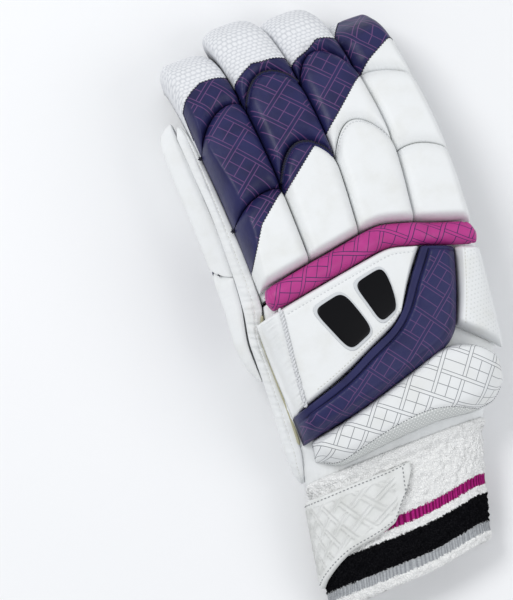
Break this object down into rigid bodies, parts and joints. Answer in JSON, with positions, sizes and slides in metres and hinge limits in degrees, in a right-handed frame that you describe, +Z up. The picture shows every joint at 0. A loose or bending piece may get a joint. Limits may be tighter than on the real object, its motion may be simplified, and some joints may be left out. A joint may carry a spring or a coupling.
{
  "type": "cricket batting glove",
  "caption": "Padded right-hand batting glove lying palm down, with segmented finger pads, a knuckle roll, back and wrist pads, an open towelling cuff and a wrist strap.",
  "frame": {"origin": "on the surface that the glove lies on, under the middle of the palm", "axes": "+Y from the wrist to the fingertips, -X towards the thumb, +Z up from the palm to the back of the hand"},
  "size_m": [0.1584, 0.3361, 0.0739],
  "materials": {
    "white_leather": "smooth white leather with a soft grain, fine creases at the folds and sewn edges",
    "navy_leather": "satin navy leather printed with thin magenta-violet crossing lines",
    "two_tone_leather": "white leather and lined navy leather sewn edge to edge",
    "pink_leather": "satin magenta-pink leather printed with thin navy crossing lines",
    "lined_leather": "white leather printed with thin dark grey crossing lines, perforated along its lower edge",
    "perforated_leather": "white leather embossed with small dots in rows",
    "white_mesh": "white embossed knit mesh in small offset scales",
    "towelling": "white looped towelling with magenta, black and grey bands",
    "white_rubber": "moulded off-white rubber with a raised line pattern and a stitched border",
    "black_rubber": "glossy black moulded rubber with a silver rim"
  },
  "bodies": {
    "root": {"hand_shell": "white_leather", "thumb_stall": "white_leather", "index_stall": "white_leather", "middle_stall": "white_leather", "ring_stall": "white_leather", "little_stall": "white_leather", "index_base_pad": "two_tone_leather", "index_middle_pad": "navy_leather", "index_tip_pad": "white_mesh", "middle_base_pad": "two_tone_leather", "middle_middle_pad": "navy_leather", "middle_tip_pad": "white_mesh", "ring_base_pad": "white_leather", "ring_middle_pad": "two_tone_leather", "ring_tip_pad": "white_mesh", "little_base_pad": "white_leather", "little_middle_pad": "white_leather", "little_tip_pad": "two_tone_leather", "knuckle_roll": "pink_leather", "back_panel": "white_leather", "chevron_pad": "navy_leather", "side_pad": "perforated_leather", "wrist_pad": "lined_leather", "badge_bar_1": "black_rubber", "badge_bar_2": "black_rubber", "cuff": "towelling", "strap_patch": "white_rubber", "strap_tab": "white_rubber", "thumb_base_pad": "two_tone_leather", "thumb_tip_pad": "two_tone_leather"}
  },
  "joints": []
}
